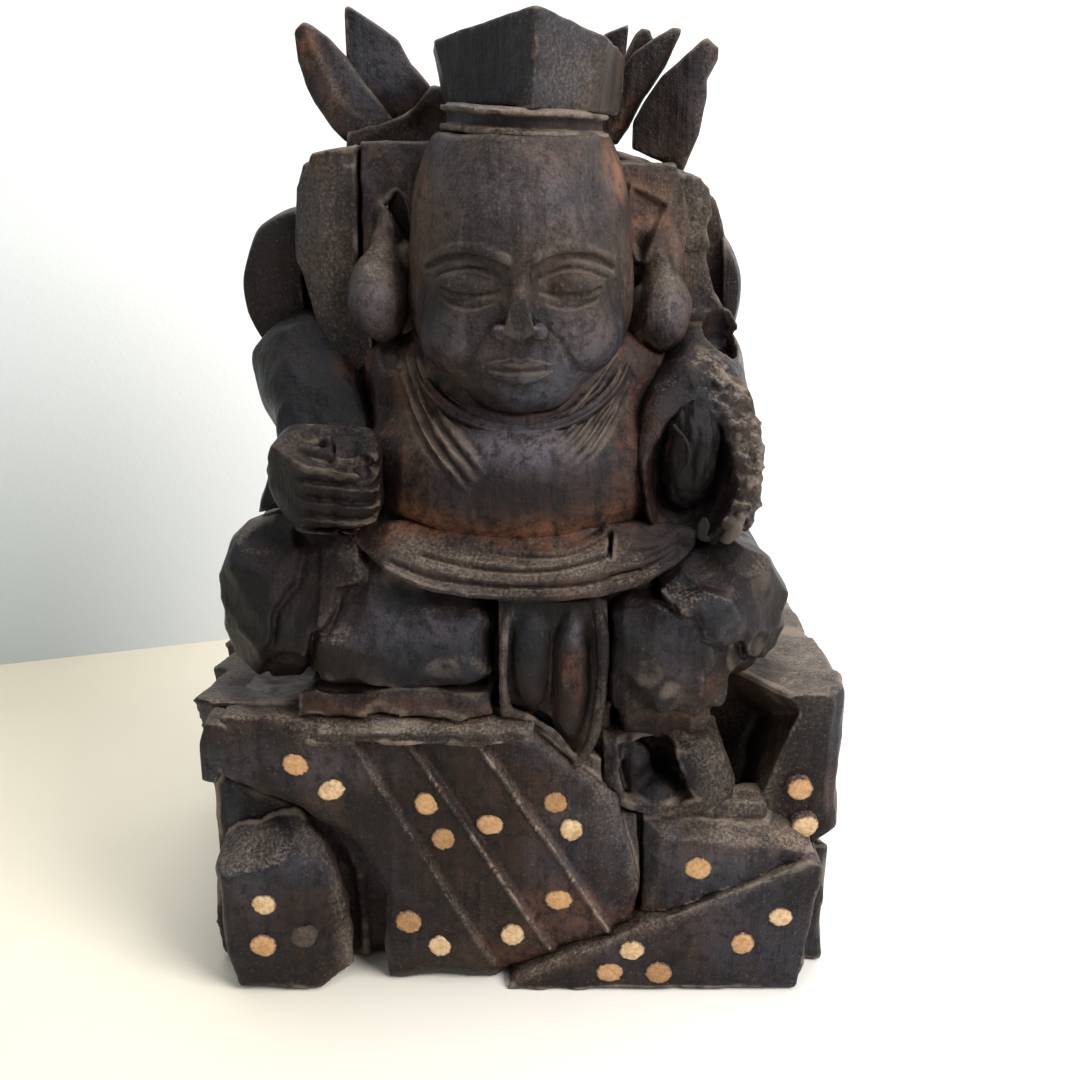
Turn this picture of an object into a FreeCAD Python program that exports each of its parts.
"""A seated wooden figure of a smiling lucky deity on a carved rock, built as joined blocks of wood.

The frame is in millimetres: +Z up, the figure faces -Y, and +X is to the right of someone who faces it.
The origin is the middle of the footprint, on the surface that the rock stands on.

The figure is joined woodwork: blocks that are pegged together and then carved as one. Every piece starts as a
blank, which fills its own box in the cut list, and is trimmed by the pieces that it is fitted round. The head
is a separate drop-in block with a neck tenon, so it lifts straight up out of the collar.
"""
import FreeCAD, Part
import os
import Sketcher
from FreeCAD import Placement, Rotation, Vector

doc = FreeCAD.newDocument("seated_figure")
sheet = doc.addObject("Spreadsheet::Sheet", "cut_list")

COLUMNS = ("left", "width", "front", "depth", "foot", "height")

# Each row is the box that a blank fills: its low corner and its size along X, Y and Z.
CUT_LIST = {
    # the rock
    "base_core": (-106, 204, -60, 137, 0, 97),
    "base_front_slab": (-99, 136, -74, 14, 0, 96),
    "base_left_boss": (-101, 44, -77, 17, 0, 63),
    "base_right_wedge": (-5, 102, -75, 15, 0, 50),
    "base_foot_block": (40, 56, -72, 12, 24, 40),
    "base_right_scroll": (62, 44, -60, 50, 44, 55),
    "foot_niche": (28, 36, -60, 24, 64, 33),
    # the seated body
    "leg_left": (-98, 96, -72, 84, 94, 64),
    "leg_right": (27, 57, -70, 80, 84, 62),
    "lap_drape": (-5, 32, -76, 16, 81, 55),
    "foot_right": (33, 28, -69, 30, 64, 23),
    "lap_block": (-46, 96, -60, 58, 97, 50),
    "belly": (-62, 122, -66, 110, 133, 86),
    "torso_back": (-60, 118, -2, 56, 97, 103),
    "torso_front_limit": (-70, 140, -2, 60, 90, 140),
    "sash": (-50, 103, -70, 16, 133, 23),
    "sleeve_left": (-94, 44, -46, 68, 148, 58),
    "hand_left": (-77, 34, -75, 34, 150, 37),
    "sleeve_right": (38, 40, -64, 76, 144, 64),
    "sleeve_mouth": (43, 27, -84, 44, 148, 48),
    "arm_stump_right": (47, 13, -58, 24, 158, 28),
    "vest_yoke": (-73, 142, 2, 22, 200, 66),
    "vest_panel_left": (-73, 24, -18, 20, 192, 74),
    "vest_panel_right": (39, 33, -10, 12, 201, 59),
    "back_bundle": (-95, 174, -16, 86, 190, 70),
    "bundle_front": (-74, 147, -20, 44, 180, 90),
    # the head, its hat and the room that it lifts through
    "head": (-36, 72, -60, 76, 186, 88),
    "head_nape": (-36, 72, -60, 76, 186, 88),
    "face_half": (-40, 80, -64, 42, 180, 90),
    "back_half": (-40, 80, -22, 23, 180, 90),
    "neck_tenon": (-11, 22, -32, 20, 168, 30),
    "neck_socket": (-11.4, 22.8, -32.4, 20.8, 167.6, 45),
    "head_room": (-37, 74, -61, 78, 185, 90),
    "ear_left_lobe": (-57, 22, -39, 20, 204, 32),
    "ear_left_rim": (-50, 18, -32, 13, 224, 36),
    "ear_right_lobe": (33, 22, -33, 21, 201, 30),
    "ear_right_rim": (31, 18, -30, 16, 222, 36),
    "ear_left_room": (-59, 26, -41, 24, 202, 36),
    "ear_right_room": (31, 26, -35, 24, 199, 34),
    "hat_band": (-28, 59, -49, 56, 270, 7),
    "hat_crown": (-28, 62, -47, 54, 277, 30),
    # the upright leaf blades behind the hat
    "crest_root": (-57, 86, 9, 15.5, 264, 17),
    "blade_left_outer": (-74, 33, 10, 6.5, 264, 41),
    "blade_left_inner": (-57, 30, 17.5, 5.5, 272, 38),
    "blade_right_back": (14, 22, 20.5, 3, 268, 36),
    "blade_right_stub": (20, 27, 24.5, 5, 268, 36),
    "blade_right_inner": (22, 31, 15, 4.5, 268, 36),
    "blade_right_outer": (40, 25, 5, 9, 256, 44),
}

# Single sizes that no box holds.
SIZES = {
    "bore_radius": 3.5,
    "bore_floor": 165,
    "rod_across": -60,
    "rod_front": -58,
    "plug_radius": 3.8,
    "plug_length": 26,
    "peg_radius": 3,
    "peg_length": 24,
    "collar_ring": 32,
    "collar_roll": 6,
    "collar_middle": -24,
    "collar_level": 196,
    "collar_tilt": 20,
    "hand_tenon_radius": 5,
    "wrist_length": 26,
}

ALONG_X, ALONG_Y, ALONG_Z = Vector(1, 0, 0), Vector(0, 1, 0), Vector(0, 0, 1)

# Where the pale plugs stand on the rock's front: the blank that they are driven through, and each (x, z).
PLUG_PLACES = {
    "plugs_front_slab": (
        "base_front_slab",
        [
            (-71, 81), (-60, 72), (-30, 67), (-25, 54), (-10, 59), (11, 67), (16, 57),
            (12, 32), (-3, 19), (-37, 24), (-27, 15),
        ],
    ),
    "plugs_left_boss": ("base_left_boss", [(-83, 33), (-84, 18)]),
    "old_plug_left_boss": ("base_left_boss", [(-71, 21)]),
    "plugs_right_wedge": ("base_right_wedge", [(29, 7), (36, 15.5), (45, 7), (72, 18), (84, 28)]),
    "plug_foot_block": ("base_foot_block", [(57, 44)]),
    "plugs_right_scroll": ("base_right_scroll", [(90, 68), (92, 55)]),
}

# The hidden pegs: the way that each set runs, and where each peg starts. Each crosses one joint face.
PEG_PLACES = {
    "seat_pegs": (ALONG_Z, [(-25, 28, 85), (25, 28, 85)]),
    "leg_pegs": (ALONG_Y, [(-38, -14, 116), (50, -14, 114)]),
    "torso_pegs": (ALONG_Y, [(4, -14, 115), (-22, -14, 172), (22, -14, 172)]),
    "sleeve_pegs": (ALONG_X, [(-70, 6, 178), (44, 6, 178)]),
    "yoke_pegs": (ALONG_Z, [(-30, 13, 188), (30, 13, 188)]),
    "bundle_pegs": (ALONG_Y, [(-22, 12, 226), (22, 12, 226)]),
    "head_pegs": (ALONG_Y, [(-18, -34, 236), (18, -34, 236)]),
    "hat_peg": (ALONG_Z, [(2, -11, 262)]),
}
BODY_PEGS = ("leg_pegs", "torso_pegs", "sleeve_pegs", "yoke_pegs", "bundle_pegs")
WRIST_START = (-62, -56, 169)


def fill_sheet():
    """Writes the cut list and the single sizes as plain numbers, each cell with its own alias."""
    row = 1
    for name, numbers in CUT_LIST.items():
        sheet.set(f"A{row}", name)
        for letter, column, number in zip("BCDEFG", COLUMNS, numbers):
            sheet.set(f"{letter}{row}", str(number))
            sheet.setAlias(f"{letter}{row}", f"{name}_{column}")
        row += 1
    for name, number in SIZES.items():
        sheet.set(f"A{row}", name)
        sheet.set(f"B{row}", str(number))
        sheet.setAlias(f"B{row}", name)
        row += 1
    doc.recompute()


def bind(obj, **expressions):
    """Binds properties to cells. A double underscore in a key stands for a dot."""
    for key, text in expressions.items():
        obj.setExpression(key.replace("__", "."), text)


def cell(name, column):
    return f"cut_list.{name}_{column}"


def put_corner(obj, name):
    """Places an object's own origin at the low corner of its box."""
    bind(
        obj,
        Placement__Base__x=cell(name, "left"),
        Placement__Base__y=cell(name, "front"),
        Placement__Base__z=cell(name, "foot"),
    )


def block(name):
    """A square-cut blank."""
    obj = doc.addObject("Part::Box", f"{name}_blank")
    bind(obj, Length=cell(name, "width"), Width=cell(name, "depth"), Height=cell(name, "height"))
    put_corner(obj, name)
    return obj


def bulb(name):
    """A rounded blank: the ellipsoid that fills the box."""
    obj = doc.addObject("Part::Ellipsoid", f"{name}_blank")
    obj.Angle1, obj.Angle2, obj.Angle3 = -90, 90, 360
    bind(
        obj,
        Radius1=f"{cell(name, 'height')} / 2",
        Radius2=f"{cell(name, 'width')} / 2",
        Radius3=f"{cell(name, 'depth')} / 2",
        Placement__Base__x=f"{cell(name, 'left')} + {cell(name, 'width')} / 2",
        Placement__Base__y=f"{cell(name, 'front')} + {cell(name, 'depth')} / 2",
        Placement__Base__z=f"{cell(name, 'foot')} + {cell(name, 'height')} / 2",
    )
    return obj


def outline_pad(name, outline, plane, across, up, length):
    """A body padded from an outline, whose points are shares of two of its box's sizes."""
    body = doc.addObject("PartDesign::Body", f"{name}_blank")
    sketch = body.newObject("Sketcher::SketchObject", f"{name}_outline")
    origin_plane = next(f for f in body.Origin.OriginFeatures if f.Role == plane)
    sketch.AttachmentSupport = (origin_plane, [""])
    sketch.MapMode = "FlatFace"
    spans = [getattr(sheet, f"{name}_{column}") for column in (across, up)]
    points = [Vector(u * spans[0], v * spans[1], 0) for u, v in outline]
    count = len(points)
    for i in range(count):
        sketch.addGeometry(Part.LineSegment(points[i], points[(i + 1) % count]), False)
    for i in range(count):
        sketch.addConstraint(Sketcher.Constraint("Coincident", i, 2, (i + 1) % count, 1))
    for i, (u, v) in enumerate(outline):
        for kind, share, column, size in (
            ("DistanceX", u, across, points[i].x),
            ("DistanceY", v, up, points[i].y),
        ):
            number = sketch.addConstraint(Sketcher.Constraint(kind, -1, 1, i, 1, size))
            sketch.setExpression(f"Constraints[{number}]", f"{cell(name, column)} * {share}")
    pad = body.newObject("PartDesign::Pad", f"{name}_pad")
    pad.Profile = sketch
    pad.Reversed = plane == "XZ_Plane"
    bind(pad, Length=cell(name, length))
    body.Tip = pad
    put_corner(body, name)
    return body


def front_plate(name):
    """A plank whose outline is seen from the front: shares of width and height."""
    return outline_pad(name, OUTLINES[name], "XZ_Plane", "width", "height", "depth")


def plan_block(name):
    """A block whose outline is seen from above: shares of width and depth."""
    return outline_pad(name, OUTLINES[name], "XY_Plane", "width", "depth", "height")


def cut(piece, *tools):
    """Trims a piece by each tool in turn."""
    for tool in tools:
        trimmed = doc.addObject("Part::Cut", f"{piece.Name}_cut")
        trimmed.Base = piece
        trimmed.Tool = tool
        piece = trimmed
    return piece


def join(*pieces):
    """One solid out of several that meet."""
    fused = doc.addObject("Part::MultiFuse", f"{pieces[0].Name}_join")
    fused.Shapes = list(pieces)
    fused.Refine = True
    return fused


def overlap(first, second):
    """The part of a blank that lies inside another."""
    common = doc.addObject("Part::Common", f"{first.Name}_share")
    common.Base = first
    common.Tool = second
    return common


def rod(name, radius, length, start, axis):
    """A round rod of cell-bound radius and length from a start point along an axis."""
    obj = doc.addObject("Part::Cylinder", name)
    bind(obj, Radius=radius, Height=length)
    obj.Placement = Placement(Vector(*start), Rotation(ALONG_Z, axis))
    return obj


def group(name, *members):
    """Several like solids that share one node."""
    obj = doc.addObject("Part::Compound", f"{name}_set")
    obj.Links = list(members)
    return obj


def pegs(name):
    """A set of hidden dowels."""
    axis, starts = PEG_PLACES[name]
    return group(
        name,
        *[
            rod(f"{name}_{i}", "cut_list.peg_radius", "cut_list.peg_length", start, axis)
            for i, start in enumerate(starts)
        ],
    )


def front_plugs(name):
    """Pale dowels driven in from the front of a facing block and cut off flush."""
    blank, places = PLUG_PLACES[name]
    front = getattr(sheet, f"{blank}_front")
    return group(
        name,
        *[
            rod(f"{name}_{i}", "cut_list.plug_radius", "cut_list.plug_length", (x, front, z), ALONG_Y)
            for i, (x, z) in enumerate(places)
        ],
    )


def serrated_plan(teeth, tooth_depth):
    """The rock's outline from above: chipped steps down the left side, and a worn right side."""
    points = [(0.05, 0), (0.985, 0), (1, 0.25), (0.99, 0.62), (0.955, 0.9), (0.88, 1), (0.1, 1)]
    step = 0.92 / teeth
    for i in range(teeth):
        back = 0.95 - i * step
        lean = 0.05 * i / teeth
        points.append((lean, back))
        points.append((lean + tooth_depth, back - step * 0.82))
    return points


# What each piece looks like from the front or from above, as shares of its own box.
OUTLINES = {
    "base_core": serrated_plan(teeth=6, tooth_depth=0.018),
    "base_front_slab": [
        (0, 0.81), (0.05, 1), (0.34, 0.94), (0.75, 0.95), (0.96, 0.72), (1, 0.23),
        (0.7, 0.04), (0.66, 0), (0.4, 0), (0.4, 0.35), (0.34, 0.54), (0.21, 0.67), (0.04, 0.77),
    ],
    "base_left_boss": [
        (0, 0.75), (0.13, 0.9), (0.45, 1), (0.75, 0.92), (0.93, 0.67), (1, 0.36),
        (0.98, 0.05), (0.82, 0), (0.16, 0), (0.05, 0.42),
    ],
    "base_right_wedge": [(0, 0), (0.02, 0.08), (1, 1), (0.95, 0)],
    "base_foot_block": [(0, 0.02), (0.02, 1), (0.45, 0.96), (0.84, 0.8), (1, 0.64)],
    "base_right_scroll": [
        (0.46, 0), (0.95, 0.05), (1, 0.35), (0.97, 1), (0, 1), (0, 0.8), (0.38, 0.76), (0.49, 0.5),
    ],
    "lap_drape": [(0, 1), (1, 0.94), (1, 0.45), (0.94, 0.13), (0.78, 0), (0.42, 0.25), (0, 0.4)],
    "sash": [
        (0.01, 1), (0.23, 0.8), (0.52, 0.58), (0.78, 0.66), (0.96, 0.8), (1, 0.55), (0.84, 0.18),
        (0.53, 0), (0.22, 0.12), (0.04, 0.5),
    ],
    "vest_yoke": [
        (0, 0.84), (0.02, 0.93), (0.15, 1), (0.7, 0.96), (0.82, 0.92), (0.96, 0.8), (1, 0), (0, 0),
    ],
    "vest_panel_left": [
        (0.1, 0.95), (0.85, 1), (0.92, 0.78), (0.75, 0.36), (1, 0.04), (0.55, 0), (0.15, 0.36),
        (0, 0.66), (0.02, 0.86),
    ],
    "vest_panel_right": [
        (0.1, 1), (0.6, 0.93), (0.7, 0.8), (0.74, 0.5), (1, 0.17), (0.96, 0), (0.2, 0), (0, 0.5),
        (0.03, 0.8),
    ],
    "hat_band": [(0.08, 0.3), (0.52, 0), (0.95, 0.3), (1, 0.6), (0.85, 1), (0.15, 1), (0, 0.6)],
    "hat_crown": [(0.1, 0), (0, 0.68), (0.52, 1), (1, 0.66), (0.88, 0)],
    "blade_left_outer": [
        (0, 1), (0.13, 0.95), (0.55, 0.6), (1, 0.2), (0.86, 0), (0.5, 0), (0.24, 0.22), (0.02, 0.6),
    ],
    "blade_left_inner": [
        (0, 1), (0.57, 0.72), (0.74, 0.47), (1, 0.34), (1, 0), (0.5, 0), (0.2, 0.3), (0, 0.58),
    ],
    "blade_right_back": [(0.5, 0.88), (0.95, 1), (0.9, 0.6), (0.5, 0), (0, 0), (0.2, 0.5)],
    "blade_right_stub": [(0.62, 0.72), (0.67, 0.97), (0.85, 1), (1, 0.82), (0.35, 0), (0, 0)],
    "blade_right_inner": [(1, 1), (0.86, 0.64), (0.56, 0.22), (0.25, 0), (0, 0), (0.36, 0.6)],
    "blade_right_outer": [
        (0.8, 1), (0.96, 0.98), (0.98, 0.75), (0.84, 0.55), (0.56, 0.02), (0.24, 0.11), (0, 0.27),
        (0.12, 0.52),
    ],
}


def rock():
    """The carved rock: a core block, and facing blocks that pale through-dowels pin to its front."""
    core = plan_block("base_core")
    core = cut(core, block("base_right_scroll"), block("foot_niche"))
    slab = front_plate("base_front_slab")
    boss = front_plate("base_left_boss")
    wedge = front_plate("base_right_wedge")
    foot_block = front_plate("base_foot_block")
    scroll = plan_block("base_right_scroll")
    plugs = {name: front_plugs(name) for name in PLUG_PLACES}
    facings = {
        "base_front_slab": cut(slab, plugs["plugs_front_slab"]),
        "base_left_boss": cut(boss, plugs["plugs_left_boss"], plugs["old_plug_left_boss"]),
        "base_right_wedge": cut(wedge, slab, plugs["plugs_right_wedge"]),
        "base_foot_block": cut(foot_block, plugs["plug_foot_block"]),
        "base_right_scroll": cut(scroll, plugs["plugs_right_scroll"]),
    }
    seat = pegs("seat_pegs")
    holes = [plugs[n] for n in plugs if n != "plugs_right_scroll"]
    core = cut(core, *holes, seat)
    return {"base_core": core, **facings, **plugs, "seat_pegs": seat}


def collar():
    """The rolled neck of the robe: a ring that dips at the front."""
    ring = doc.addObject("Part::Torus", "collar_blank")
    bind(ring, Radius1="cut_list.collar_ring", Radius2="cut_list.collar_roll")
    ring.Placement = Placement(
        Vector(0, sheet.collar_middle, sheet.collar_level), Rotation(ALONG_X, sheet.collar_tilt)
    )
    return ring


def hand():
    """The near fist: a rounded block with a wrist tenon behind it and a bore for the rod it once held."""
    wrist = rod(
        "wrist_tenon", "cut_list.hand_tenon_radius", "cut_list.wrist_length", WRIST_START, ALONG_Y
    )
    bore = rod(
        "rod_bore",
        "cut_list.bore_radius",
        "cut_list.hand_left_height",
        (sheet.rod_across, sheet.rod_front, sheet.bore_floor),
        ALONG_Z,
    )
    return cut(join(bulb("hand_left"), wrist), bore)


def seated_body(base):
    """The figure from the lap to the shoulders, as joined blocks round a two-part core."""
    core = base["base_core"]
    foot = block("foot_right")
    leg_left = cut(bulb("leg_left"), core)
    leg_right = cut(bulb("leg_right"), core, foot, base["base_right_scroll"])
    fist = cut(hand(), leg_left)
    panel_left = front_plate("vest_panel_left")
    panel_right = front_plate("vest_panel_right")
    sleeve_left = cut(bulb("sleeve_left"), leg_left, fist, panel_left)
    stump = bulb("arm_stump_right")
    ear_rooms = [bulb("ear_left_room"), bulb("ear_right_room")]
    sleeve_right = cut(
        bulb("sleeve_right"), bulb("sleeve_mouth"), leg_right, panel_right, stump, ear_rooms[1]
    )
    yoke = cut(front_plate("vest_yoke"), sleeve_left, sleeve_right)
    sash = cut(front_plate("sash"), leg_left, leg_right, sleeve_right, fist)
    room = bulb("head_room")
    ring = cut(collar(), room, yoke, panel_left, panel_right)
    bundle_front = block("bundle_front")
    back = cut(
        block("torso_back"), leg_left, leg_right, sleeve_left, sleeve_right, panel_left, panel_right,
        ring, room,
    )
    bundle = cut(bulb("back_bundle"), bundle_front, back, sleeve_left, sleeve_right)
    front = join(bulb("belly"), block("lap_block"))
    front = cut(
        front, block("torso_front_limit"), leg_left, leg_right, sleeve_left, sleeve_right, fist,
        panel_left, panel_right, sash, ring, room, block("neck_socket"), stump, *ear_rooms,
    )
    joints = {name: pegs(name) for name in BODY_PEGS}
    seat = base["seat_pegs"]
    return {
        "foot_right": foot,
        "leg_left": cut(leg_left, joints["leg_pegs"]),
        "leg_right": cut(leg_right, joints["leg_pegs"]),
        "lap_drape": cut(front_plate("lap_drape"), sash),
        "hand_left": fist,
        "vest_panel_left": panel_left,
        "vest_panel_right": panel_right,
        "sleeve_left": cut(sleeve_left, joints["sleeve_pegs"]),
        "sleeve_right": cut(sleeve_right, joints["sleeve_pegs"]),
        "arm_stump_right": stump,
        "vest_yoke": cut(yoke, joints["yoke_pegs"], joints["bundle_pegs"]),
        "sash": sash,
        "collar": ring,
        "back_bundle": cut(bundle, joints["bundle_pegs"]),
        "torso_back": cut(
            back, joints["leg_pegs"], joints["torso_pegs"], joints["sleeve_pegs"], joints["yoke_pegs"], seat
        ),
        "torso_front": cut(front, joints["torso_pegs"]),
        **joints,
    }


def head():
    """The drop-in head: a face half and a back half with the neck tenon, two ears, and a pegged hat."""
    band = plan_block("hat_band")
    crown = front_plate("hat_crown")
    dowels = pegs("head_pegs")
    hat_peg = pegs("hat_peg")
    face = cut(overlap(bulb("head"), block("face_half")), dowels)
    nape = overlap(bulb("head_nape"), block("back_half"))
    nape = cut(join(nape, block("neck_tenon")), face, dowels, hat_peg)
    ears = {}
    for side in ("left", "right"):
        ear = join(bulb(f"ear_{side}_lobe"), bulb(f"ear_{side}_rim"))
        ears[f"ear_{side}"] = cut(ear, face, nape)
    return {
        "face_block": face,
        "head_back_block": nape,
        **ears,
        "hat_band": cut(band, hat_peg),
        "hat_crown": cut(crown, hat_peg),
        "head_pegs": dowels,
        "hat_peg": hat_peg,
    }


def crest(yoke):
    """The leaf blades that fan out behind the hat, let into a root block on the shoulders."""
    names = [name for name in CUT_LIST if name.startswith("blade_")]
    blades = {name: cut(front_plate(name), yoke) for name in names}
    return {"crest_root": cut(block("crest_root"), *blades.values(), yoke), **blades}


def check_and_write(pieces):
    """Stops on any failed object or bad solid, then writes one STEP file for each piece."""
    doc.recompute()
    failed = [o.Name for o in doc.Objects if {"Invalid", "Error"} & set(o.State)]
    assert not failed, f"failed objects: {failed}"
    for name, obj in pieces.items():
        shape = obj.Shape
        assert not shape.isNull() and shape.isValid() and shape.Solids, f"bad shape: {name}"
    os.makedirs("parts", exist_ok=True)
    for old in os.listdir("parts"):
        os.remove(os.path.join("parts", old))
    for name, obj in pieces.items():
        obj.Label = name
        obj.Shape.exportStep(f"parts/{name}.step")
        box = obj.Shape.BoundBox
        print(
            f"{name:20s} solids {len(obj.Shape.Solids):2d}  volume {obj.Shape.Volume / 1000:8.1f} cm3"
            f"  x {box.XMin:6.1f} {box.XMax:6.1f}  y {box.YMin:6.1f} {box.YMax:6.1f}"
            f"  z {box.ZMin:6.1f} {box.ZMax:6.1f}"
        )


fill_sheet()
base = rock()
body = seated_body(base)
check_and_write({**base, **body, **head(), **crest(body["vest_yoke"])})
